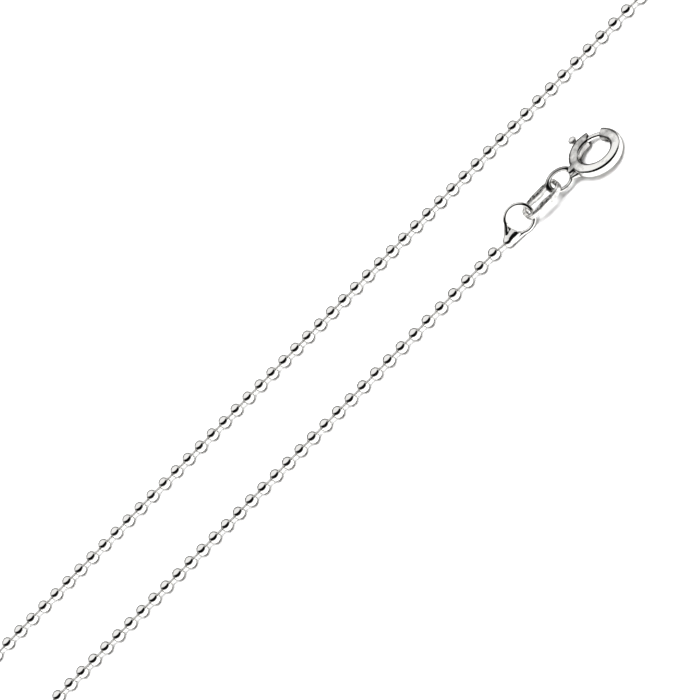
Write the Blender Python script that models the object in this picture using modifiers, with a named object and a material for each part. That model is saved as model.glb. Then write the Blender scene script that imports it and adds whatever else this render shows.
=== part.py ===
"""Ball chain necklace of polished silver, lying open on a flat surface.

Metres, +Z up, X along the two straight strands. The origin is the middle of the underside.
"""

import math

import bmesh
import bpy
from mathutils import Matrix, Vector

MM = 0.001

# Beads and rods
bead_diameter = 1.5 * MM
bead_sides = 10
bead_belt = 0.64 * MM
rod_diameter = 0.45 * MM
rod_sides = 5
bead_count = 188
half_gap = 0.14 * MM

# Distance between beads, by bead from the clasp. It changes evenly from one line to the next
gap_stations = [
    (0, 2.12 * MM),
    (12, 2.02 * MM),
    (24, 1.97 * MM),
    (36, 1.99 * MM),
    (135, 2.06 * MM),
    (147, 2.03 * MM),
    (159, 1.97 * MM),
    (173, 1.98 * MM),
    (bead_count - 1, 2.07 * MM),
]

# Lie of the chain: two straight strands and a round loop for the neck
strand_spacing = 12.3 * MM
clasp_strand = 77.3 * MM
plain_strand = 111.1 * MM
flare_angle = math.radians(40)

# End caps: ball tip, flat web and wire loop
tip_diameter = 1.36 * MM
tip_reach = 2.13 * MM
tip_height = 0.71 * MM
socket_diameter = 0.78 * MM
socket_depth = 0.52 * MM
rod_in_socket = 0.26 * MM
cap_loop_diameter = 3.24 * MM
cap_wire = 0.47 * MM
cap_length = 2.82 * MM
cap_side = -0.27 * MM
cap_yaw = math.radians(9)
cap_pitch = math.radians(-17.7)
cap_roll = math.radians(52)
plain_cap_pitch = math.radians(-4)
plain_cap_roll = math.radians(24)

# Tag link: flat oval ring of rounded square section
tag_length = 5.32 * MM
tag_width = 2.8 * MM
tag_band = 0.5 * MM
tag_thickness = 0.64 * MM
tag_waist = 0.34 * MM
tag_waist_reach = 1.6 * MM
tag_edge = 0.08 * MM
tag_fullness = 2.6
tag_yaw = math.radians(-3.9)
tag_pitch = math.radians(-4.6)
tag_roll = math.radians(-5)
tag_hang = (-0.075 * MM, -0.5 * MM, -0.61 * MM)
link_clearance = 0.15 * MM

# Clasp ring: bent tube with a gate, and an oval eye soldered to it
ring_diameter = 5.06 * MM
tube_diameter = 1.4 * MM
bore_diameter = 0.84 * MM
gate_start = math.radians(43)
gate_end = math.radians(81)
bore_end = math.radians(167)
socket_end = math.radians(28)
eye_length = 3.0 * MM
eye_width = 2.1 * MM
eye_wire = 0.52 * MM
eye_neck = 0.22 * MM
neck_diameter = 1.1 * MM
eye_twist = math.radians(57)
ring_yaw = math.radians(-3.6)
ring_pitch = math.radians(7.5)
ring_roll = math.radians(-3)
ring_hang = (-0.297 * MM, 0.17 * MM, 0.0)

# Bolt: curved rod with a thumb knob, which turns about the ring's axis
bolt_diameter = 0.64 * MM
bolt_tip = math.radians(35)
bolt_heel = math.radians(114)
knob_angle = math.radians(106)
knob_diameter = 1.15 * MM
knob_reach = 1.41 * MM
stem_diameter = 0.28 * MM
bolt_travel = math.radians(46)
slot_clearance = 0.14 * MM

# End ring at the plain end, lying half under the cap's loop
end_ring_diameter = 3.4 * MM
end_ring_wire = 0.6 * MM
end_ring_roll = math.radians(-21.5)
end_ring_clearance = 0.22 * MM

arc_step = math.radians(9)
floor_clearance = 0.01 * MM

for old in list(bpy.data.objects):
    bpy.data.objects.remove(old, do_unlink=True)

necklace = bpy.data.collections.new("ball_chain_necklace")
helpers = bpy.data.collections.new("helpers")
bpy.context.scene.collection.children.link(necklace)
bpy.context.scene.collection.children.link(helpers)


def silver(name, roughness):
    """Polished silver, a Principled BSDF metal."""
    material = bpy.data.materials.new(name)
    material.use_nodes = True
    shader = material.node_tree.nodes["Principled BSDF"]
    shader.inputs["Base Color"].default_value = (0.93, 0.92, 0.90, 1.0)
    shader.inputs["Metallic"].default_value = 1.0
    shader.inputs["Roughness"].default_value = roughness
    return material


bead_silver = silver("bead_silver", 0.08)
clasp_silver = silver("clasp_silver", 0.12)


def turned(yaw, pitch, roll):
    """A turn about X by roll, then Y by pitch, then Z by yaw."""
    return (Matrix.Rotation(yaw, 4, "Z") @ Matrix.Rotation(pitch, 4, "Y")
            @ Matrix.Rotation(roll, 4, "X"))


def add_object(name, mesh, collection, material=None, parent=None):
    """A new object of the mesh, in the collection and under the parent."""
    obj = bpy.data.objects.new(name, mesh)
    collection.objects.link(obj)
    obj.parent = parent
    if material:
        mesh.materials.append(material)
    if collection == helpers:
        obj.hide_render = True
        obj.display_type = "WIRE"
    return obj


def add_empty(name, matrix, parent=None):
    empty = bpy.data.objects.new(name, None)
    helpers.objects.link(empty)
    empty.parent = parent
    empty.matrix_local = matrix
    return empty


def mesh_of(name, bm):
    """The bmesh as a mesh with its faces pointing out and round faces smooth."""
    bmesh.ops.recalc_face_normals(bm, faces=bm.faces)
    mesh = bpy.data.meshes.new(name)
    bm.to_mesh(mesh)
    bm.free()
    mesh.shade_smooth()
    mesh.set_sharp_from_angle(angle=math.radians(50))
    return mesh


def arc(radius, start, end):
    """Points on an arc about Z, from one angle to the other."""
    steps = max(2, math.ceil(abs(end - start) / arc_step))
    turns = [start + (end - start) * i / steps for i in range(steps + 1)]
    return [Vector((radius * math.cos(t), radius * math.sin(t), 0)) for t in turns]


def oval(length, width, count, fullness=2.0):
    """Points round an oval. At a fullness of 2 it's an ellipse, and above that it's squarer."""
    points = []
    for i in range(count):
        turn = 2 * math.pi * (i + 0.5) / count
        across, side = math.cos(turn), math.sin(turn)
        x = length / 2 * math.copysign(abs(across) ** (2 / fullness), across)
        y = width / 2 * math.copysign(abs(side) ** (2 / fullness), side)
        points.append(Vector((x, y, 0)))
    return points


def wire(name, points, diameter, resolution, closed):
    """A mesh wire along the points. Its sides number four and twice the resolution."""
    curve = bpy.data.curves.new(name, "CURVE")
    curve.dimensions = "3D"
    curve.twist_mode = "Z_UP"
    curve.bevel_depth = diameter / 2
    curve.bevel_resolution = resolution
    curve.use_fill_caps = True
    spline = curve.splines.new("POLY")
    spline.points.add(len(points) - 1)
    for place, point in zip(spline.points, points):
        place.co = (*point, 1)
    spline.use_cyclic_u = closed
    guide = bpy.data.objects.new(name, curve)
    helpers.objects.link(guide)
    bpy.context.view_layer.update()
    graph = bpy.context.evaluated_depsgraph_get()
    mesh = bpy.data.meshes.new_from_object(guide.evaluated_get(graph))
    bpy.data.objects.remove(guide, do_unlink=True)
    bm = bmesh.new()
    bm.from_mesh(mesh)
    bmesh.ops.remove_doubles(bm, verts=bm.verts, dist=1e-7)
    return mesh_of(name, bm)


def combine(obj, other, operation):
    """A Boolean modifier on the object."""
    modifier = obj.modifiers.new(other.name, "BOOLEAN")
    modifier.operation = operation
    modifier.object = other
    modifier.solver = "EXACT"


def along(direction, at):
    """A matrix whose Z lies along the direction, with Y kept as near up as it can be."""
    z = direction.normalized()
    x = Vector((0, 0, 1)).cross(z).normalized()
    return Matrix.Translation(at) @ Matrix((x, z.cross(x), z)).transposed().to_4x4()


# Lie of the chain on the surface

def bead_gaps():
    """The distance from each bead to the next, read off between the stations."""
    gaps = []
    for (first, gap), (last, next_gap) in zip(gap_stations, gap_stations[1:]):
        for i in range(first, last):
            share = (i + 0.5 - first) / (last - first)
            gaps.append(gap + (next_gap - gap) * share)
    return gaps


gaps = bead_gaps()
neck_length = sum(gaps) - clasp_strand - plain_strand
full_turn = math.pi + 2 * flare_angle
flare_radius = (
    (neck_length - strand_spacing / 2 * full_turn / math.cos(flare_angle))
    / (2 * flare_angle + (1 / math.cos(flare_angle) - 1) * full_turn)
)
neck_radius = (
    (strand_spacing / 2 + flare_radius * (1 - math.cos(flare_angle))) / math.cos(flare_angle)
)

# The route from the clasp's last bead to the plain end's, as lengths and turns
route = [
    (clasp_strand, 0.0),
    (flare_radius * flare_angle, flare_angle),
    (neck_radius * full_turn, -full_turn),
    (flare_radius * flare_angle, flare_angle),
    (plain_strand, 0.0),
]


def on_route(distance):
    """The place and heading at this distance from the clasp's last bead."""
    place = Vector((0, 0, bead_diameter / 2))
    heading = math.pi
    for length, turn in route:
        step = min(distance, length)
        bend = turn * step / length
        chord = step * (math.sin(bend / 2) / (bend / 2) if bend else 1)
        towards = heading + bend / 2
        place += chord * Vector((math.cos(towards), math.sin(towards), 0))
        heading += bend
        distance -= step
        if distance <= 0:
            break
    return place, Vector((math.cos(heading), math.sin(heading), 0))


bead_places = []
for i in range(bead_count):
    bead_places.append(on_route(min(sum(gaps[:i]), sum(length for length, _ in route))))

# The necklace's empty puts the origin in the middle of the underside, at the end of this script
body = add_empty("necklace_origin", Matrix.Identity(4))


# Chain: beads and rods, in two halves

def ring_of(bm, sides, radius, matrix):
    """An open ring of edges. One flat side faces down."""
    flat = Matrix.Rotation(math.pi / sides, 4, "Z")
    made = bmesh.ops.create_circle(bm, segments=sides, radius=radius, matrix=matrix @ flat)
    return [edge for edge in bm.edges if edge.verts[0] in made["verts"]]


def bridge(bm, first, second):
    bmesh.ops.bridge_loops(bm, edges=first + second)


def chain_half(name, first, last, start_rod, end_rod):
    """Beads first to last as one body. A rod runs to each given point."""
    bm = bmesh.new()
    pole = math.sqrt(bead_diameter ** 2 - rod_diameter ** 2) / 2
    corner = bead_diameter / 2 / math.cos(math.pi / bead_sides)
    open_end = None
    for place, heading in bead_places[first:last + 1]:
        frame = along(heading, place)
        rings = []
        for sides, radius, offset in (
            (rod_sides, rod_diameter / 2, -pole),
            (bead_sides, corner, -bead_belt / 2),
            (bead_sides, corner, bead_belt / 2),
            (rod_sides, rod_diameter / 2, pole),
        ):
            shift = Matrix.Translation((0, 0, offset))
            rings.append(ring_of(bm, sides, radius, frame @ shift))
        if open_end is None:
            start = rings[0]
        else:
            bridge(bm, open_end, rings[0])
        for before, after in zip(rings, rings[1:]):
            bridge(bm, before, after)
        open_end = rings[3]
    for end, rod in ((start, start_rod), (open_end, end_rod)):
        if rod:
            reach = ring_of(bm, rod_sides, rod_diameter / 2, rod)
            bridge(bm, end, reach)
            end = reach
        bmesh.ops.contextual_create(bm, geom=end)
    return add_object(name, mesh_of(name, bm), necklace, bead_silver, body)


def rod_end(bead, tip):
    """Where the end rod stops inside the cap's ball tip."""
    out = (tip - bead).normalized()
    return tip - out * (tip_diameter / 2 - rod_in_socket), out


clasp_bead = bead_places[0][0]
plain_bead = bead_places[-1][0]
drop = Vector((0, 0, tip_height - bead_diameter / 2))
reach_x = math.sqrt(tip_reach ** 2 - cap_side ** 2)
clasp_tip = clasp_bead + Vector((reach_x, cap_side, 0)) + drop
plain_tip = plain_bead + Vector((reach_x, -cap_side, 0)) + drop

clasp_stop, clasp_out = rod_end(clasp_bead, clasp_tip)
plain_stop, plain_out = rod_end(plain_bead, plain_tip)
middle = bead_count // 2
before, onward = bead_places[middle - 1]
after, _ = bead_places[middle]
stub = (after - before).length - math.sqrt(bead_diameter ** 2 - rod_diameter ** 2) / 2 - half_gap
chain_half(
    "chain_clasp_side", 0, middle - 1,
    along(-clasp_out, clasp_stop), along(onward, before + stub * (after - before).normalized()),
)
chain_half("chain_plain_side", middle, bead_count - 1, None, along(plain_out, plain_stop))


# End caps: a ball tip drilled for the last rod, a flat web and a wire loop, in one casting

def end_cap(name, place):
    """The cap's X runs from the ball tip's centre to the loop's."""
    loop = oval(cap_loop_diameter, cap_loop_diameter, 20)
    loop = [point + Vector((cap_length, 0, 0)) for point in loop]
    cap = add_object(name, wire(name, loop, cap_wire, 1, True), necklace, clasp_silver, body)
    cap.matrix_local = place

    # Web sections from the tip to the loop: place along X, half width, half thickness
    ball = tip_diameter / 2
    hole_edge = cap_length - (cap_loop_diameter - cap_wire) / 2
    web_sections = [
        (-0.97 * ball, 0.24 * ball, 0.24 * ball),
        (-0.72 * ball, 0.70 * ball, 0.70 * ball),
        (0.0, ball, ball),
        (0.42 * hole_edge, 1.05 * ball, 0.80 * ball),
        (0.74 * hole_edge, 1.38 * ball, 0.38 * ball),
        (0.88 * hole_edge, 1.60 * ball, 0.78 * cap_wire / 2),
        (1.40 * hole_edge, 2.10 * ball, 0.45 * cap_wire / 2),
    ]
    bm = bmesh.new()
    previous = None
    for place_x, half_width, half_thickness in web_sections:
        section = Matrix.Translation((place_x, 0, 0)) @ Matrix.Rotation(math.pi / 2, 4, "Y")
        scale = Matrix.Diagonal((half_thickness, half_width, 1, 1))
        ring = ring_of(bm, bead_sides, 1.0, section @ scale)
        if previous:
            bridge(bm, previous, ring)
        else:
            bmesh.ops.contextual_create(bm, geom=ring)
        previous = ring
    bmesh.ops.contextual_create(bm, geom=previous)
    web = add_object(name + "_web", mesh_of(name + "_web", bm), helpers, None, body)
    web.matrix_local = place

    bm = bmesh.new()
    hole_radius = cap_loop_diameter / 2 - 0.15 * cap_wire
    bmesh.ops.create_cone(
        bm, cap_ends=True, segments=20, radius1=hole_radius, radius2=hole_radius,
        depth=2 * tip_diameter, matrix=Matrix.Translation((cap_length, 0, 0)),
    )
    hole = add_object(name + "_hole", mesh_of(name + "_hole", bm), helpers, None, body)
    hole.matrix_local = place
    combine(web, hole, "DIFFERENCE")
    combine(cap, web, "UNION")
    return cap


def drill_socket(cap, bead, tip):
    """A blind hole in the ball tip, in line with the last rod."""
    out = (tip - bead).normalized()
    bm = bmesh.new()
    bmesh.ops.create_cone(
        bm, cap_ends=True, segments=8, radius1=socket_diameter / 2,
        radius2=socket_diameter / 2, depth=2 * socket_depth,
    )
    name = cap.name + "_socket"
    socket = add_object(name, mesh_of(name, bm), helpers, None, body)
    socket.matrix_local = along(out, tip - out * tip_diameter / 2)
    combine(cap, socket, "DIFFERENCE")


clasp_cap_place = Matrix.Translation(clasp_tip) @ turned(cap_yaw, cap_pitch, cap_roll)
plain_cap_turn = turned(-cap_yaw, plain_cap_pitch, plain_cap_roll)
clasp_cap = end_cap("end_cap_clasp", clasp_cap_place)
plain_cap = end_cap("end_cap_plain", Matrix.Translation(plain_tip) @ plain_cap_turn)
drill_socket(clasp_cap, clasp_bead, clasp_tip)
drill_socket(plain_cap, plain_bead, plain_tip)


# Tag link: a flat oval ring hooked through the cap's loop at one end and the clasp's eye at the other

loop_end = clasp_cap_place @ Vector((cap_length + cap_loop_diameter / 2, 0, 0))
tag_turn = turned(tag_yaw, tag_pitch, tag_roll)
tag_line = (tag_length - tag_band) / 2
tag_inset = tag_line - (tag_band + cap_wire) / 2 - link_clearance
tag_centre = loop_end + tag_turn @ Vector((tag_inset, 0, 0)) + Vector(tag_hang)
tag_place = Matrix.Translation(tag_centre) @ tag_turn

bm = bmesh.new()
for shrink in (0, tag_band):
    outline = oval(tag_length - 2 * shrink, tag_width - 2 * shrink, 24, tag_fullness)
    for point in outline:
        if shrink:
            # The long sides are broader in the middle, where they are struck
            broad = tag_waist * max(0, 1 - (point.x / tag_waist_reach) ** 2) ** 2
            point.y -= math.copysign(broad, point.y)
    corners = [bm.verts.new(point) for point in outline]
    for one, other in zip(corners, corners[1:] + corners[:1]):
        bm.edges.new((one, other))
bmesh.ops.bridge_loops(bm, edges=list(bm.edges))
tag = add_object("tag_link", mesh_of("tag_link", bm), necklace, clasp_silver, body)
tag.matrix_local = tag_place
thick = tag.modifiers.new("thickness", "SOLIDIFY")
thick.thickness = tag_thickness
thick.offset = 0
rounded = tag.modifiers.new("edges", "BEVEL")
rounded.width = tag_edge
rounded.segments = 1
rounded.limit_method = "ANGLE"
rounded.angle_limit = math.radians(60)


# Clasp: its empty sits on the ring's axis, which the bolt turns about

eye_reach = (ring_diameter + tube_diameter + eye_length) / 2 + eye_neck
clasp_turn = turned(ring_yaw, ring_pitch, ring_roll)
eye_turn = clasp_turn @ turned(0, 0, eye_twist)
tag_end = tag_place @ Vector((tag_line - (tag_band + eye_wire) / 2 - link_clearance, 0, 0))
ring_centre = tag_end + clasp_turn @ Vector((eye_length / 2 + eye_reach, 0, 0)) + Vector(ring_hang)
ring_tilt = clasp_turn.to_3x3().col[2].angle(Vector((0, 0, 1)))
ring_low = ring_diameter / 2 * math.sin(ring_tilt) + tube_diameter / 2
ring_centre.z = ring_low + floor_clearance
clasp = add_empty("clasp_axis", Matrix.Translation(ring_centre) @ clasp_turn, body)

ring_arc = arc(ring_diameter / 2, gate_end, 2 * math.pi + gate_start)
ring = add_object(
    "clasp_ring", wire("clasp_ring", ring_arc, tube_diameter, 3, False), necklace,
    clasp_silver, clasp,
)

neck_bm = bmesh.new()
neck_span = (tube_diameter + eye_wire) / 2 + eye_neck
bmesh.ops.create_cone(
    neck_bm, cap_ends=True, segments=8, radius1=neck_diameter / 2, radius2=0.4 * eye_wire,
    depth=neck_span,
    matrix=Matrix.Translation((-(ring_diameter + neck_span) / 2, 0, 0))
    @ Matrix.Rotation(-math.pi / 2, 4, "Y"),
)
neck = add_object("clasp_neck", mesh_of("clasp_neck", neck_bm), helpers, None, clasp)
eye_points = oval(eye_length, eye_width, 18)
eye = add_object("clasp_eye", wire("clasp_eye", eye_points, eye_wire, 1, True), helpers, None, clasp)
eye.matrix_local = Matrix.Translation((-eye_reach, 0, 0)) @ turned(0, 0, eye_twist)
combine(ring, eye, "UNION")
combine(ring, neck, "UNION")

overshoot = math.radians(6)
bore_arc = arc(ring_diameter / 2, gate_end - overshoot, bore_end)
bore = add_object("bore", wire("bore", bore_arc, bore_diameter, 2, False), helpers, None, clasp)
catch_arc = arc(ring_diameter / 2, socket_end, gate_start + overshoot)
catch = add_object("catch", wire("catch", catch_arc, bore_diameter, 2, False), helpers, None, clasp)
slot_width = stem_diameter + 2 * slot_clearance
slot_reach = ring_diameter / 2 + (bore_diameter + tube_diameter) / 4
slot_margin = slot_width / (ring_diameter + tube_diameter)
slot_arc = arc(slot_reach, knob_angle - slot_margin, knob_angle + bolt_travel + slot_margin)
slot = add_object("slot", wire("slot", slot_arc, slot_width, 2, False), helpers, None, clasp)
for cutter in (bore, catch, slot):
    combine(ring, cutter, "DIFFERENCE")


# Bolt: a curved rod, a stem through the slot and a thumb knob

bolt_arc = arc(ring_diameter / 2, bolt_tip, bolt_heel)
bolt = add_object(
    "bolt", wire("bolt", bolt_arc, bolt_diameter, 2, False), necklace, clasp_silver, clasp,
)
outward = Vector((math.cos(knob_angle), math.sin(knob_angle), 0))
stem_bm = bmesh.new()
bmesh.ops.create_cone(
    stem_bm, cap_ends=True, segments=8, radius1=stem_diameter / 2, radius2=stem_diameter / 2,
    depth=knob_reach, matrix=along(outward, outward * (ring_diameter + knob_reach) / 2),
)
stem = add_object("bolt_stem", mesh_of("bolt_stem", stem_bm), helpers, None, clasp)
knob_bm = bmesh.new()
bmesh.ops.create_uvsphere(
    knob_bm, u_segments=bead_sides, v_segments=6, radius=knob_diameter / 2,
    matrix=along(outward, outward * (ring_diameter / 2 + knob_reach)),
)
knob = add_object("bolt_knob", mesh_of("bolt_knob", knob_bm), helpers, None, clasp)
combine(bolt, stem, "UNION")
combine(bolt, knob, "UNION")


# End ring: a plain jump ring linked with the plain cap's loop, one side under the loop's wire

ring_inset = (end_ring_diameter - end_ring_wire - cap_wire) / 2 - end_ring_clearance
ring_reach = cap_length + cap_loop_diameter / 2 + ring_inset
end_ring_centre = plain_tip + turned(-cap_yaw, 0, 0) @ Vector((ring_reach, 0, 0))
end_ring_lean = end_ring_diameter / 2 * math.sin(abs(end_ring_roll))
end_ring_centre.z = end_ring_lean + end_ring_wire / 2 + floor_clearance
end_ring_points = oval(end_ring_diameter, end_ring_diameter, 18)
end_ring = add_object(
    "end_ring", wire("end_ring", end_ring_points, end_ring_wire, 1, True), necklace,
    clasp_silver, body,
)
end_ring.matrix_local = Matrix.Translation(end_ring_centre) @ turned(-cap_yaw, 0, end_ring_roll)


def centre_underside():
    """Moves the necklace so that the origin is the middle of its underside."""
    bpy.context.view_layer.update()
    graph = bpy.context.evaluated_depsgraph_get()
    corners = []
    for obj in necklace.objects:
        made = obj.evaluated_get(graph)
        corners += [made.matrix_world @ Vector(corner) for corner in made.bound_box]
    low = [min(corner[axis] for corner in corners) for axis in range(3)]
    high = [max(corner[axis] for corner in corners) for axis in range(3)]
    body.location = (-(low[0] + high[0]) / 2, -(low[1] + high[1]) / 2, 0)
    bpy.context.view_layer.update()


centre_underside()
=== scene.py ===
import math

import bpy
from mathutils import Matrix, Vector


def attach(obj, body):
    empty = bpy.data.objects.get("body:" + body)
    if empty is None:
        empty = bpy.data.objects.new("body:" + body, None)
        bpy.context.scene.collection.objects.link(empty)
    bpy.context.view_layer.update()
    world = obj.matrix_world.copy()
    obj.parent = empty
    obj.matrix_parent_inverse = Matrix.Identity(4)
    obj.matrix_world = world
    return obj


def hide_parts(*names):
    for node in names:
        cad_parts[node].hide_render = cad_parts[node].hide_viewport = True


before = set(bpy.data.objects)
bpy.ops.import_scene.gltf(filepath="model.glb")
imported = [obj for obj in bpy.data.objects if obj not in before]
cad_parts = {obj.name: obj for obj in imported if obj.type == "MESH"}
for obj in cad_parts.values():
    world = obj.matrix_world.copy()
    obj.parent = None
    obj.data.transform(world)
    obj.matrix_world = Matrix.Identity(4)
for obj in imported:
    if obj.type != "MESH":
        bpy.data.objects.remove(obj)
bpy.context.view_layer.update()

# Camera
# A long lens 302 mm from the chain and 43 degrees above the surface. It is rolled, so that the two
# strands run from the lower left to the upper right.

MM = 0.001

aim = Vector((35.806, 0.331, 0)) * MM
camera_distance = 301.8 * MM
camera_lens = 136.65
camera_yaw = math.radians(8.7)
camera_down = math.radians(43)
camera_roll = math.radians(-51.49)

look = Vector((
    -math.sin(camera_yaw) * math.cos(camera_down),
    math.cos(camera_yaw) * math.cos(camera_down),
    -math.sin(camera_down),
))
level = Vector((math.cos(camera_yaw), math.sin(camera_yaw), 0))
upright = level.cross(look)
camera_right = math.cos(camera_roll) * level + math.sin(camera_roll) * upright
camera_up = -math.sin(camera_roll) * level + math.cos(camera_roll) * upright

bpy.ops.object.camera_add()
camera = bpy.context.object
camera.name = "camera"
camera.data.sensor_width = 36
camera.data.lens = camera_lens
camera.data.clip_start = 0.01
camera_turn = Matrix((camera_right, camera_up, -look)).transposed().to_4x4()
camera.matrix_world = Matrix.Translation(aim - look * camera_distance) @ camera_turn
bpy.context.scene.camera = camera

# Floor
# A sheet of matt white paper, much wider than the view, so that no edge of it shows.

floor_size = 2.4


def only(*objects):
    """These objects alone are selected, and the last of them is active."""
    if bpy.context.object and bpy.context.object.mode != "OBJECT":
        bpy.ops.object.mode_set(mode="OBJECT")
    bpy.ops.object.select_all(action="DESELECT")
    for obj in objects:
        obj.select_set(True)
        bpy.context.view_layer.objects.active = obj


def colour(code):
    """An sRGB hex colour as linear values."""
    values = []
    for i in (0, 2, 4):
        part = int(code[i:i + 2], 16) / 255
        values.append(part / 12.92 if part <= 0.04045 else ((part + 0.055) / 1.055) ** 2.4)
    return (*values, 1.0)


def add_node(tree, kind, settings, inputs):
    """A node with its settings. An input takes a value, or the socket that feeds it."""
    node = tree.nodes.new(kind)
    for name, value in settings.items():
        setattr(node, name, value)
    for name, value in inputs.items():
        if isinstance(value, bpy.types.NodeSocket):
            tree.links.new(value, node.inputs[name])
        else:
            node.inputs[name].default_value = value
    return node


only()
bpy.ops.mesh.primitive_plane_add(size=floor_size)
floor = bpy.context.object
floor.name = "floor"

# White paper without any gloss. It is bright enough to burn out to white, and shows soft shadows only
# where silver nearly touches it.
paper = bpy.data.materials.new("matt_white_paper")
paper.use_nodes = True
paper_shader = paper.node_tree.nodes["Principled BSDF"]
paper_shader.inputs["Base Color"].default_value = colour("F4F4F4")
paper_shader.inputs["Roughness"].default_value = 1.0
paper_shader.inputs["Specular IOR Level"].default_value = 0.0
floor.data.materials.append(paper)

# Studio
# A white tent, dimmer at its foot, with a dark gap low down behind. On the camera's side a black card
# stands in it: the polished balls show the card as their black crescent. A wide lamp overhead whitens
# the paper and is not seen in the silver.

tent_light = 0.98
foot_light = 0.72
gap_light = 0.03
card_light = 0.004
foot_top = math.radians(14)
tent_bottom = math.radians(38)
lamp_size = 0.6
lamp_energy = 13.5
lamp_distance = 0.9
lamp_azimuth = 10
lamp_elevation = 82


def heading(azimuth, elevation):
    """A direction. The azimuth is in degrees from the camera's side towards its right."""
    flat = math.radians(azimuth)
    rise = math.radians(elevation)
    towards = Vector((math.sin(camera_yaw), -math.cos(camera_yaw), 0))
    return (math.cos(rise) * (math.cos(flat) * towards + math.sin(flat) * level)
            + math.sin(rise) * Vector((0, 0, 1)))


world = bpy.data.worlds.new("studio")
bpy.context.scene.world = world
world.use_nodes = True
studio = world.node_tree
studio.nodes.clear()
ray = add_node(studio, "ShaderNodeTexCoord", {}, {})


def amount(operation, *values):
    """A sum on sockets and numbers."""
    node = add_node(studio, "ShaderNodeMath", {"operation": operation}, dict(enumerate(values)))
    return node.outputs[0]


def along(direction):
    """How far the ray runs along a direction."""
    return add_node(
        studio, "ShaderNodeVectorMath", {"operation": "DOT_PRODUCT"},
        {0: ray.outputs["Generated"], 1: direction},
    ).outputs["Value"]


from_front = amount("ARCTAN2", along(heading(90, 0)), along(heading(0, 0)))
from_behind = amount("ARCTAN2", along(heading(-90, 0)), along(heading(180, 0)))
height = amount("ARCSINE", along((0, 0, 1)))


def patch(angle, middle, half_width, middle_height, half_height, droop, edge):
    """A soft oval patch of the surroundings in degrees, drooping at its ends: 1 inside, 0 outside."""
    across = amount("MULTIPLY_ADD", angle, math.degrees(1) / half_width, -middle / half_width)
    squared = amount("MULTIPLY", across, across)
    rise = amount("MULTIPLY_ADD", height, math.degrees(1) / half_height,
                  -middle_height / half_height)
    rise = amount("MULTIPLY_ADD", squared, droop / half_height, rise)
    total = amount("ADD", squared, amount("MULTIPLY", rise, rise))
    return add_node(
        studio, "ShaderNodeMapRange", {"interpolation_type": "SMOOTHSTEP"},
        {"Value": total, "From Min": 1 + edge, "From Max": 1 - edge},
    ).outputs["Result"]


tent = add_node(
    studio, "ShaderNodeMapRange", {"interpolation_type": "SMOOTHSTEP"},
    {"Value": height, "From Min": foot_top, "From Max": tent_bottom,
     "To Min": foot_light, "To Max": tent_light},
)
low_gap = patch(from_behind, middle=0, half_width=100, middle_height=4, half_height=15,
                droop=0, edge=0.3)
black_card = patch(from_front, middle=-13, half_width=104, middle_height=39, half_height=27,
                   droop=14, edge=0.25)
light = tent.outputs["Result"]
for shape, brightness in ((low_gap, gap_light), (black_card, card_light)):
    light = add_node(studio, "ShaderNodeMix", {}, {0: shape, 2: light, 3: brightness}).outputs[0]
glow = add_node(
    studio, "ShaderNodeBackground", {}, {"Color": (1, 1, 1, 1), "Strength": light},
)
add_node(studio, "ShaderNodeOutputWorld", {}, {"Surface": glow.outputs["Background"]})

bpy.ops.object.light_add(type="AREA")
lamp = bpy.context.object
lamp.name = "lamp"
lamp.data.size = lamp_size
lamp.data.energy = lamp_energy
lamp_from = heading(lamp_azimuth, lamp_elevation)
lamp.matrix_world = Matrix.Translation(aim + lamp_from * lamp_distance) @ lamp_from.to_track_quat(
    "Z", "Y").to_matrix().to_4x4()
lamp.visible_glossy = False
bpy.context.scene.view_settings.view_transform = "Standard"

# Beads and rods
# Hollow sterling silver balls, rolled from tube and polished, on short drawn rods whose heads turn
# inside them. Each half of the chain is one piece.

bead_count = 188
bead_radius = 0.75
bead_sides = 12
dent_rim = 0.12
dent_depth = 0.055
rod_radius = 0.225
rod_start = 0.66
grip = 0.42
first_half = bead_count // 2

# The chain lies in one loop: two straight strands, which bend apart and meet in a round neck.
chain_start = Vector((55.307, -6.148, bead_radius))
clasp_tip = Vector((57.420, -6.418, 0.71))
plain_tip = Vector((91.220, 6.422, 0.71))
strand_spacing = 12.3
clasp_strand = 77.3
plain_strand = 111.1
parting_angle = math.radians(40)

# The number of a bead and how far the next one stands from it. Between these, it changes evenly.
gap_stations = [
    (0, 2.12), (12, 2.02), (24, 1.97), (36, 1.99), (135, 2.06),
    (147, 2.03), (159, 1.97), (173, 1.98), (bead_count - 1, 2.07),
]


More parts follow.
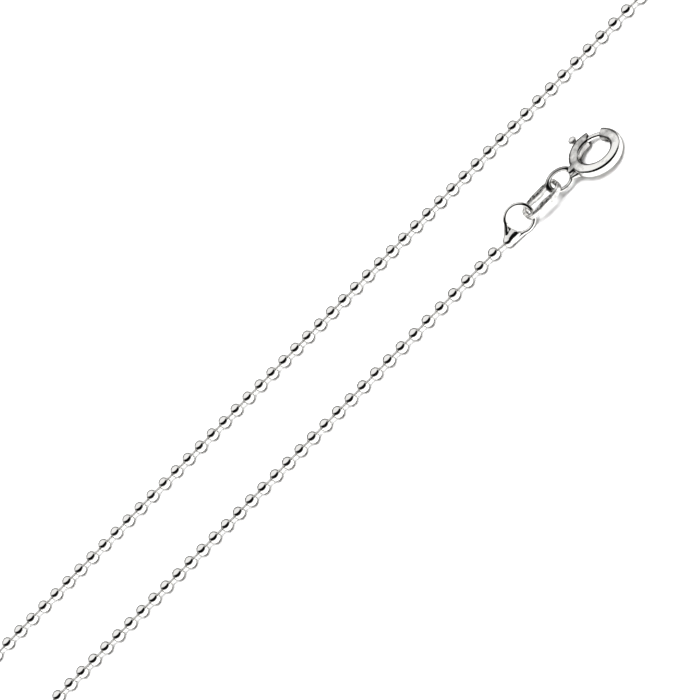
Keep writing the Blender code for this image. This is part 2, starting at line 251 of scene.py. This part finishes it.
def silver(name, dark, bright, smoothest, roughest, patch_size, spread, wave_size, wave_depth,
           painted_shade_span=None):
    """Sterling silver. Sizes of its haze patches and of its waves are in millimetres. The spread is
    how softly the darker tone runs into the brighter one. With a painted shade span, the tint has
    painted light at the first Y value and painted shade at the second one, in millimetres."""
    haze_low, haze_high = 0.3, 0.7
    painted_light_lift, painted_shade_drop = 0.3, -0.12
    material = bpy.data.materials.new(name)
    material.use_nodes = True
    tree = material.node_tree
    shader = tree.nodes["Principled BSDF"]
    shader.inputs["Metallic"].default_value = 1.0
    # The edge tint is a dark grey, unlike real silver: it paints dark outlines along the rims of every
    # piece, a painted shade at grazing angles.
    shader.inputs["Specular Tint"].default_value = colour("3C3C3C")
    place = add_node(tree, "ShaderNodeTexCoord", {}, {})
    haze = add_node(
        tree, "ShaderNodeTexNoise", {},
        {"Vector": place.outputs["Object"], "Scale": 1 / (patch_size * MM), "Detail": 4.0,
         "Roughness": 0.6},
    )
    gloss = add_node(
        tree, "ShaderNodeMapRange", {},
        {"Value": haze.outputs["Fac"], "From Min": haze_low, "From Max": haze_high,
         "To Min": smoothest, "To Max": roughest},
    )
    tone_and_painted_shade = haze.outputs["Fac"]
    # Painted light and shade: between the two Y values the tint goes from painted lighter to painted
    # darker.
    if painted_shade_span:
        painted_light_at, painted_shade_at = painted_shade_span
        across = add_node(tree, "ShaderNodeSeparateXYZ", {}, {"Vector": place.outputs["Object"]})
        painted_shade_ramp = add_node(
            tree, "ShaderNodeMapRange", {},
            {"Value": across.outputs["Y"], "From Min": painted_light_at * MM, "From Max": painted_shade_at * MM,
             "To Min": painted_light_lift, "To Max": painted_shade_drop},
        )
        tone_and_painted_shade = add_node(
            tree, "ShaderNodeMath", {"operation": "ADD"}, {0: tone_and_painted_shade, 1: painted_shade_ramp.outputs["Result"]},
        ).outputs["Value"]
    share = add_node(
        tree, "ShaderNodeMapRange", {},
        {"Value": tone_and_painted_shade, "From Min": 0.5 - spread, "From Max": 0.5 + spread},
    )
    tint = add_node(
        tree, "ShaderNodeMix", {"data_type": "RGBA"},
        {0: share.outputs["Result"], 6: colour(dark), 7: colour(bright)},
    )
    ripple = add_node(
        tree, "ShaderNodeTexNoise", {},
        {"Vector": place.outputs["Object"], "Scale": 1 / (wave_size * MM), "Detail": 2.0},
    )
    bump = add_node(
        tree, "ShaderNodeBump", {},
        {"Height": ripple.outputs["Fac"], "Distance": wave_depth * MM, "Strength": 1.0},
    )
    tree.links.new(tint.outputs[2], shader.inputs["Base Color"])
    tree.links.new(gloss.outputs["Result"], shader.inputs["Roughness"])
    tree.links.new(bump.outputs["Normal"], shader.inputs["Normal"])
    return material


def pick(obj, kind, test):
    """In edit mode, the faces, edges or corners whose middle passes the test are selected."""
    only(obj)
    bpy.ops.object.mode_set(mode="EDIT")
    bpy.ops.mesh.select_mode(type=kind)
    bpy.ops.mesh.select_all(action="DESELECT")
    bpy.ops.object.mode_set(mode="OBJECT")
    points = [corner.co for corner in obj.data.vertices]
    if kind == "FACE":
        for face in obj.data.polygons:
            face.select = bool(test(face.center))
    elif kind == "EDGE":
        for edge in obj.data.edges:
            edge.select = bool(test((points[edge.vertices[0]] + points[edge.vertices[1]]) / 2))
    else:
        for corner in obj.data.vertices:
            corner.select = bool(test(corner.co))
    bpy.ops.object.mode_set(mode="EDIT")


def finish_mesh(obj, crease):
    """Doubles are merged, faces turned outwards and shaded smooth up to the crease angle."""
    only(obj)
    bpy.ops.object.mode_set(mode="EDIT")
    bpy.ops.mesh.select_all(action="SELECT")
    bpy.ops.mesh.remove_doubles(threshold=0.0005)
    bpy.ops.mesh.normals_make_consistent(inside=False)
    bpy.ops.object.mode_set(mode="OBJECT")
    bpy.ops.object.shade_smooth_by_angle(angle=math.radians(crease))


def fit(obj, name, place, metal, body, node):
    """Takes a piece modelled in millimetres to its place in metres, and ties it to its body. It gets
    the metal unless its parts have their own."""
    obj.name = name
    obj.data.name = name
    if not obj.data.materials:
        obj.data.materials.append(metal)
    obj.matrix_world = Matrix.Scale(MM, 4) @ place
    only(obj)
    bpy.ops.object.transform_apply(location=True, rotation=True, scale=True)
    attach(obj, body)
    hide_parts(node)


bead_gaps = []
for (first, gap), (last, next_gap) in zip(gap_stations, gap_stations[1:]):
    for i in range(first, last):
        bead_gaps.append(gap + (next_gap - gap) * (i + 0.5 - first) / (last - first))

# The neck's radius is what makes the round part and both bends as long as the beads left for them.
neck_length = sum(bead_gaps) - clasp_strand - plain_strand
neck_turn = math.pi + 2 * parting_angle
parting_radius = (
    (neck_length - strand_spacing / 2 * neck_turn / math.cos(parting_angle))
    / (2 * parting_angle + (1 / math.cos(parting_angle) - 1) * neck_turn)
)
neck_radius = (
    (strand_spacing / 2 + parting_radius * (1 - math.cos(parting_angle)))
    / math.cos(parting_angle)
)

# Each stretch of the chain, from the clasp to the plain end: its length and how far it bends.
route = [
    (clasp_strand, 0.0),
    (parting_radius * parting_angle, parting_angle),
    (neck_radius * neck_turn, -neck_turn),
    (parting_radius * parting_angle, parting_angle),
    (plain_strand, 0.0),
]
route_length = sum(length for length, _ in route)


def on_route(distance):
    """The place at this distance along the chain, and which way the chain runs there."""
    place = chain_start.copy()
    bearing = math.pi
    for length, bend in route:
        step = min(distance, length)
        turned_by = bend * step / length
        chord = step * (math.sin(turned_by / 2) / (turned_by / 2) if turned_by else 1)
        towards = bearing + turned_by / 2
        place += chord * Vector((math.cos(towards), math.sin(towards), 0))
        bearing += turned_by
        distance -= step
        if distance <= 0:
            break
    return place, Vector((math.cos(bearing), math.sin(bearing), 0))


def facing(direction, at):
    """A matrix whose Z runs along the direction."""
    z = direction.normalized()
    x = Vector((0, 0, 1)).cross(z).normalized()
    return Matrix.Translation(at) @ Matrix((x, z.cross(x), z)).transposed().to_4x4()


beads = [on_route(min(sum(bead_gaps[:i]), route_length)) for i in range(bead_count)]

only()
bpy.ops.mesh.primitive_uv_sphere_add(segments=bead_sides, ring_count=6, radius=bead_radius)
ball = bpy.context.object

# Without its two end points a ball has flat ends. Each is pressed in, as round the hole for a rod.
pick(ball, "VERT", lambda p: abs(p.z) > 0.99 * bead_radius)
bpy.ops.mesh.dissolve_verts()
pick(ball, "FACE", lambda p: abs(p.z) > 0.8 * bead_radius)
bpy.ops.mesh.inset(thickness=dent_rim, depth=dent_depth)
bpy.ops.object.mode_set(mode="OBJECT")
finish_mesh(ball, 60)

# Silver balls polished in a barrel: a nearly sharp mirror, so that the black crescent is crisp.
bead_silver = silver("polished_silver_balls", "E4E3E1", "FBFAF7", 0.03, 0.08, 0.9, 0.5, 0.5, 0.0012)
ball.data.materials.append(bead_silver)

only()
bpy.ops.mesh.primitive_cylinder_add(vertices=6, radius=rod_radius, depth=1)
rod = bpy.context.object
finish_mesh(rod, 60)

# Drawn silver wire that the barrel doesn't reach: satin, and paler between the balls.
rod_silver = silver("satin_silver", "EAE9E7", "FBFAF7", 0.52, 0.62, 0.5, 0.3, 0.3, 0.004)
rod.data.materials.append(rod_silver)


def copy_to(obj, place):
    """A copy with its own mesh, at that place."""
    copy = obj.copy()
    copy.data = obj.data.copy()
    copy.data.transform(place)
    bpy.context.scene.collection.objects.link(copy)
    return copy


def rod_between(start, end):
    """A rod from one point to the other."""
    reach = end - start
    return copy_to(rod, facing(reach, (start + end) / 2) @ Matrix.Diagonal((1, 1, reach.length, 1)))


def string_beads(first, last, end_rod):
    """Beads first to last and the rods that follow them, joined, with the rod at the chain's end."""
    parts = [rod_between(*end_rod)]
    half_side = Matrix.Rotation(math.pi / bead_sides, 4, "Z")
    for i in range(first, last + 1):
        place, direction = beads[i]
        parts.append(copy_to(ball, facing(direction, place) @ half_side))
        if i + 1 < bead_count:
            next_place = beads[i + 1][0]
            towards = (next_place - place).normalized() * rod_start
            parts.append(rod_between(place + towards, next_place - towards))
    only(*parts)
    bpy.ops.object.join()
    return bpy.context.object


def last_rod(bead, tip):
    """The ends of the rod from a bead into the ball tip of a cap."""
    into_tip = (tip - bead).normalized()
    return bead + into_tip * rod_start, tip - into_tip * grip


clasp_side = string_beads(0, first_half - 1, last_rod(beads[0][0], clasp_tip))
fit(clasp_side, "beads_clasp_side", Matrix.Identity(4), bead_silver, "necklace",
    "chain_clasp_side")
plain_side = string_beads(first_half, bead_count - 1, last_rod(beads[-1][0], plain_tip))
fit(plain_side, "beads_plain_side", Matrix.Identity(4), bead_silver, "necklace",
    "chain_plain_side")
for spare in (ball, rod):
    bpy.data.objects.remove(spare)

# End caps
# Cast silver caps: a ball tip that grips the last rod, a flattened web between two legs, and a round
# wire loop. Casting and polishing have run all of these into one.

cap_length = 2.82
cap_loop_radius = 1.62
cap_wire_radius = 0.25
tip_radius = 0.68
leg_sides = ((-1, 0.52), (1, 0.40))
leg_foot_along = 0.12
leg_foot_across = 0.2
leg_top_along = cap_length - 1.10
leg_top_across = 1.16
leg_top_radius = 0.26
web_narrow = 0.62
web_wide = 0.92
web_length = 1.44
web_flatness = 0.34
web_roll = -24
web_middle = Vector((0.72, 0.07, 0.05))
socket_mouth = 0.34
socket_bottom = 0.27
socket_depth = 0.7
skin_grain = 0.045
cap_softening = 12


def turned(yaw, pitch, roll):
    """A turn about X by roll, then Y by pitch, then Z by yaw, in degrees."""
    return (Matrix.Rotation(math.radians(yaw), 4, "Z")
            @ Matrix.Rotation(math.radians(pitch), 4, "Y")
            @ Matrix.Rotation(math.radians(roll), 4, "X"))


def apply_modifier(obj, kind, **settings):
    """A modifier with its settings, applied."""
    modifier = obj.modifiers.new(kind.lower(), kind)
    for name, value in settings.items():
        setattr(modifier, name, value)
    only(obj)
    bpy.ops.object.modifier_apply(modifier=modifier.name)


def cut(obj, cutter):
    """The cutter is taken out of the object, and removed."""
    apply_modifier(obj, "BOOLEAN", operation="DIFFERENCE", solver="EXACT", object=cutter)
    bpy.data.objects.remove(cutter)


def melt(parts, grain, rounds):
    """The parts run into one skin of that grain, and their joints are softened."""
    only(*parts)
    bpy.ops.object.join()
    joined = bpy.context.object
    apply_modifier(joined, "REMESH", mode="VOXEL", voxel_size=grain)
    apply_modifier(joined, "SMOOTH", factor=0.5, iterations=rounds)
    return joined


def end_cap(tip, tilt, bead):
    """The cap, with X from the middle of its ball tip to the middle of its loop, and its place."""
    only()
    bpy.ops.mesh.primitive_torus_add(
        location=(cap_length, 0, 0), major_radius=cap_loop_radius, minor_radius=cap_wire_radius,
        major_segments=64, minor_segments=20,
    )
    parts = [bpy.context.object]
    bpy.ops.mesh.primitive_uv_sphere_add(segments=32, ring_count=16, radius=tip_radius)
    parts.append(bpy.context.object)
    for side, foot_radius in leg_sides:
        foot = Vector((leg_foot_along, side * leg_foot_across, 0))
        top = Vector((leg_top_along, side * leg_top_across, 0))
        bpy.ops.mesh.primitive_cone_add(
            vertices=24, radius1=foot_radius, radius2=leg_top_radius, depth=(top - foot).length,
        )
        leg = bpy.context.object
        leg.data.transform(facing(top - foot, (foot + top) / 2))
        parts.append(leg)
    bpy.ops.mesh.primitive_cone_add(
        vertices=32, radius1=web_narrow, radius2=web_wide, depth=web_length,
    )
    web = bpy.context.object
    pick(web, "VERT", lambda p: p.z > 0)
    bpy.ops.transform.resize(value=(web_flatness, 1, 1))
    bpy.ops.object.mode_set(mode="OBJECT")
    web.data.transform(turned(0, 0, web_roll) @ facing(Vector((1, 0, 0)), web_middle)
                       @ Matrix.Rotation(math.pi / 2, 4, "Z"))
    parts.append(web)
    casting = melt(parts, skin_grain, cap_softening)

    place = Matrix.Translation(tip) @ tilt
    out = place.to_3x3().inverted() @ (tip - bead).normalized()
    only()
    bpy.ops.mesh.primitive_cone_add(
        vertices=24, radius1=socket_mouth, radius2=socket_bottom, depth=socket_depth,
    )
    socket = bpy.context.object
    socket.data.transform(facing(out, -out * tip_radius))
    cut(casting, socket)
    finish_mesh(casting, 45)
    return casting, place


# Cast silver, buffed: a mirror with faint waves, so that its dark lines wander a little.
cap_silver = silver("cast_silver_caps", "CFCECC", "FBFAF7", 0.05, 0.16, 0.6, 0.3, 0.6, 0.004)
cap, cap_place = end_cap(clasp_tip, turned(9, -17.7, 52), beads[0][0])
fit(cap, "cap_at_clasp", cap_place, cap_silver, "necklace", "end_cap_clasp")
cap, cap_place = end_cap(plain_tip, turned(-9, -4, 24), beads[-1][0])
fit(cap, "cap_at_plain_end", cap_place, cap_silver, "necklace", "end_cap_plain")

# Tag link
# A flat oval link, stamped out of silver sheet and tumbled, so that its edges are round. Its long sides
# are broader in the middle, where a shallow panel is struck into each and left bare and uneven.

tag_length = 5.32
tag_width = 2.8
tag_thickness = 0.64
tag_band = 0.5
tag_edge = 0.09
corner_cut = 1.399
corner_roundness = 0.587
waist = 0.34
waist_reach = 1.6
panel_reach = 1.85
panel_rim = 0.02
panel_depth = 0.02
tag_place = Matrix.Translation((63.283, -6.376, 1.593)) @ turned(-3.9, -4.6, -5)

only()
bpy.ops.mesh.primitive_plane_add(size=tag_width)
tag = bpy.context.object
pick(tag, "VERT", lambda p: True)
bpy.ops.mesh.bevel(offset=corner_cut, segments=24, profile=corner_roundness, affect="VERTICES")
bpy.ops.mesh.select_all(action="SELECT")
bpy.ops.mesh.remove_doubles(threshold=0.004)
bpy.ops.transform.resize(value=(tag_length / tag_width, 1, 1))
bpy.ops.mesh.select_mode(type="FACE")
bpy.ops.mesh.select_all(action="SELECT")
bpy.ops.mesh.inset(thickness=tag_band)
bpy.ops.object.mode_set(mode="OBJECT")
for corner in [tag.data.vertices[i] for face in tag.data.polygons if face.select
               for i in face.vertices]:
    inwards = waist * max(0, 1 - (corner.co.x / waist_reach) ** 2) ** 2
    corner.co.y -= math.copysign(inwards, corner.co.y)
bpy.ops.object.mode_set(mode="EDIT")
bpy.ops.mesh.delete(type="FACE")
bpy.ops.object.mode_set(mode="OBJECT")
apply_modifier(tag, "SOLIDIFY", thickness=tag_thickness, offset=0)
apply_modifier(tag, "BEVEL", width=tag_edge, segments=4, limit_method="ANGLE",
               angle_limit=math.radians(60))
finish_mesh(tag, 40)

# Silver sheet, tumbled: soft grey patches in a bright, slightly uneven mirror.
tag_silver = silver("tumbled_silver_link", "9C9B99", "F2F1EE", 0.08, 0.2, 0.35, 0.2, 0.3, 0.016)

# The struck panels: rough and partly tarnished, so that they read as dark mottled strips.
panel_silver = silver("struck_silver_panel", "363635", "C3C2BF", 0.2, 0.4, 0.3, 0.1, 0.16, 0.05)
for metal in (tag_silver, panel_silver):
    tag.data.materials.append(metal)
pick(tag, "FACE", lambda p: p.z > tag_thickness / 2 - 0.001 and abs(p.x) < panel_reach)
bpy.ops.mesh.inset(thickness=panel_rim, depth=-panel_depth)
tag.active_material_index = 1
bpy.ops.object.material_slot_assign()
bpy.ops.object.mode_set(mode="OBJECT")
fit(tag, "oval_tag_link", tag_place, tag_silver, "necklace", "tag_link")

# Clasp ring
# A bolt ring: thin silver tube bent round, with a gate cut in it and a slot for the knob outside. An
# oval eye is soldered to it, turned on edge.

ring_radius = 2.53
tube_radius = 0.7
tube_wall = 0.28
tube_fullness = 2.5
tube_lip = 0.05
gate_start = 43
gate_end = 82
mouth_slant = 17
mouth_spare = 8
mouth_reach = 1.1
slot_start = 100
slot_end = 158
slot_radius = 0.28
slot_outwards = 1.22
eye_radius = 1.275
eye_wire_radius = 0.31
eye_middle = -4.95
eye_roll = 57
eye_long = 1.176
eye_narrow = 0.824
collar_foot = 0.74
collar_tip = 0.40
collar_length = 0.95
collar_middle = -3.30
solder_foot = 0.52
solder_tip = 0.27
solder_length = 1.25
solder_runs = Vector((-1.1, 0.46, -0.22))
solder_middle = Vector((-3.27, -0.56, -0.34))
eye_softening = 16
clasp_place = Matrix.Translation((71.1135, -6.727, 1.065)) @ turned(-3.6, 7.5, -3)


def spun_tube(radius, start, end, steps, sides, fullness=2):
    """A tube about Z at the ring's radius, from one angle to the other in degrees, open ended. Its
    section is round at a fullness of 2 and squarer above."""
    only()
    bpy.ops.mesh.primitive_circle_add(vertices=sides, radius=radius)
    tube = bpy.context.object
    for corner in tube.data.vertices:
        for axis in (0, 1):
            share = abs(corner.co[axis] / radius) ** (2 / fullness)
            corner.co[axis] = math.copysign(radius * share, corner.co[axis])
    tube.data.transform(
        Matrix.Rotation(math.radians(start), 4, "Z") @ Matrix.Translation((ring_radius, 0, 0))
        @ Matrix.Rotation(math.pi / 2, 4, "X")
    )
    bpy.ops.object.mode_set(mode="EDIT")
    bpy.ops.mesh.select_all(action="SELECT")
    bpy.ops.mesh.spin(
        steps=steps, angle=math.radians(start - end), center=(0, 0, 0), axis=(0, 0, 1),
    )
    bpy.ops.object.mode_set(mode="OBJECT")
    return tube


def close_ends(tube):
    """Both open ends of a tube are filled, which makes it a rod."""
    only(tube)
    bpy.ops.object.mode_set(mode="EDIT")
    bpy.ops.mesh.select_mode(type="EDGE")
    bpy.ops.mesh.select_all(action="DESELECT")
    bpy.ops.mesh.select_non_manifold()
    bpy.ops.mesh.edge_face_add()
    bpy.ops.object.mode_set(mode="OBJECT")
    finish_mesh(tube, 60)


# The near mouth is slanted: the tube starts a little too long, and a plane trims its end. The slot's
# cutter is spread until it breaks through the outer wall alone.
ring = spun_tube(tube_radius, gate_end - mouth_spare, 360 + gate_start, 112, 40, tube_fullness)
finish_mesh(ring, 60)
near_mouth = math.radians(gate_end)
mouth = Vector((math.cos(near_mouth), math.sin(near_mouth), 0)) * ring_radius
mouth_faces = near_mouth + math.radians(90 - mouth_slant)
pick(ring, "FACE", lambda p: (p - mouth).length < mouth_reach)
bpy.ops.mesh.bisect(
    plane_co=mouth, plane_no=(math.cos(mouth_faces), math.sin(mouth_faces), 0), clear_inner=True,
)
bpy.ops.object.mode_set(mode="OBJECT")
apply_modifier(ring, "SOLIDIFY", thickness=tube_wall, offset=-1, use_even_offset=True)
apply_modifier(ring, "BEVEL", width=tube_lip, segments=3, limit_method="ANGLE",
               angle_limit=math.radians(50))
slot_cutter = spun_tube(slot_radius, slot_start, slot_end, 24, 16)
slot_cutter.data.transform(Matrix.Diagonal((slot_outwards, slot_outwards, 1, 1)))
close_ends(slot_cutter)
cut(ring, slot_cutter)

only()
bpy.ops.mesh.primitive_torus_add(
    major_radius=eye_radius, minor_radius=eye_wire_radius, major_segments=64, minor_segments=20,
)
eye = bpy.context.object
eye.data.transform(Matrix.Translation((eye_middle, 0, 0)) @ turned(0, 0, eye_roll)
                   @ Matrix.Diagonal((eye_long, eye_narrow, 1, 1)))
bpy.ops.mesh.primitive_cone_add(
    vertices=32, radius1=collar_foot, radius2=collar_tip, depth=collar_length,
)
collar = bpy.context.object
collar.data.transform(Matrix.Translation((collar_middle, 0, 0))
                      @ Matrix.Rotation(-math.pi / 2, 4, "Y"))
bpy.ops.mesh.primitive_cone_add(
    vertices=32, radius1=solder_foot, radius2=solder_tip, depth=solder_length,
)
solder = bpy.context.object
solder.data.transform(facing(solder_runs, solder_middle))
soldered_eye = melt([eye, collar, solder], skin_grain, eye_softening)
only(soldered_eye, ring)
bpy.ops.object.join()
bpy.ops.object.shade_smooth_by_angle(angle=math.radians(40))

# Silver tube, bent and worn, grey and patchy; painted light on the side near the camera, painted shade
# on the far side.
ring_silver = silver("worn_silver_tube_with_painted_shade", "A09F9D", "F6F5F2", 0.05, 0.15, 1.2, 0.16, 0.5, 0.008,
                     painted_shade_span=(-8.6, -6.6))
fit(ring, "bolt_ring", clasp_place, ring_silver, "necklace", "clasp_ring")

# Bolt
# A curved silver rod that a spring inside the tube holds across the gate. A thin stem through the slot
# carries the round thumb knob that draws it back.

bolt_radius = 0.32
bolt_start = 35
bolt_end = 114
bolt_edge = 0.08
knob_angle = math.radians(106)
knob_radius = 0.575
knob_middle = ring_radius + 1.41
knob_foot_height = 0.5
knob_foot = 0.08
stem_radius = 0.14
stem_length = 1.1
stem_middle = ring_radius + 0.7

bolt = spun_tube(bolt_radius, bolt_start, bolt_end, 28, 20)
close_ends(bolt)
apply_modifier(bolt, "BEVEL", width=bolt_edge, segments=3, limit_method="ANGLE",
               angle_limit=math.radians(50))
outward = Vector((math.cos(knob_angle), math.sin(knob_angle), 0))
only()
bpy.ops.mesh.primitive_cylinder_add(vertices=16, radius=stem_radius, depth=stem_length)
stem = bpy.context.object
stem.data.transform(facing(outward, outward * stem_middle))
bpy.ops.mesh.primitive_uv_sphere_add(segments=32, ring_count=16, radius=knob_radius)
knob = bpy.context.object
pick(knob, "VERT", lambda p: p.z < -knob_foot_height)
bpy.ops.transform.translate(value=(0, 0, -knob_foot))
bpy.ops.object.mode_set(mode="OBJECT")
knob.data.transform(facing(outward, outward * knob_middle))

# Silver softly buffed, so that the knob mirrors the studio only faintly and looks paler than a bead.
knob_silver = silver("buffed_silver_knob", "EAE9E7", "FBFAF7", 0.26, 0.32, 0.5, 0.3, 0.3, 0.002)
knob.data.materials.append(knob_silver)
bolt.data.materials.append(cap_silver)
stem.data.materials.append(cap_silver)
only(stem, knob, bolt)
bpy.ops.object.join()
bpy.ops.object.shade_smooth_by_angle(angle=math.radians(40))
fit(bolt, "spring_bolt", clasp_place, cap_silver, "bolt", "bolt")

# End ring
# A plain jump ring of round silver wire at the other end of the chain, soldered shut and filed a little
# flatter at the joint. The bolt ring closes on it.

end_ring_radius = 1.7
end_ring_wire_radius = 0.3
joint_reach = 0.05
joint_flatness = 0.96
end_ring_place = Matrix.Translation((96.538, 5.579, 0.933)) @ turned(-9, 0, -21.5)

only()
bpy.ops.mesh.primitive_torus_add(
    major_radius=end_ring_radius, minor_radius=end_ring_wire_radius, major_segments=72,
    minor_segments=24,
)
jump_ring = bpy.context.object
pick(jump_ring, "EDGE", lambda p: p.x > 0 and abs(p.y) < joint_reach)
bpy.ops.transform.resize(value=(1, 1, joint_flatness))
bpy.ops.object.mode_set(mode="OBJECT")
finish_mesh(jump_ring, 60)
fit(jump_ring, "soldered_end_ring", end_ring_place, cap_silver, "necklace", "end_ring")
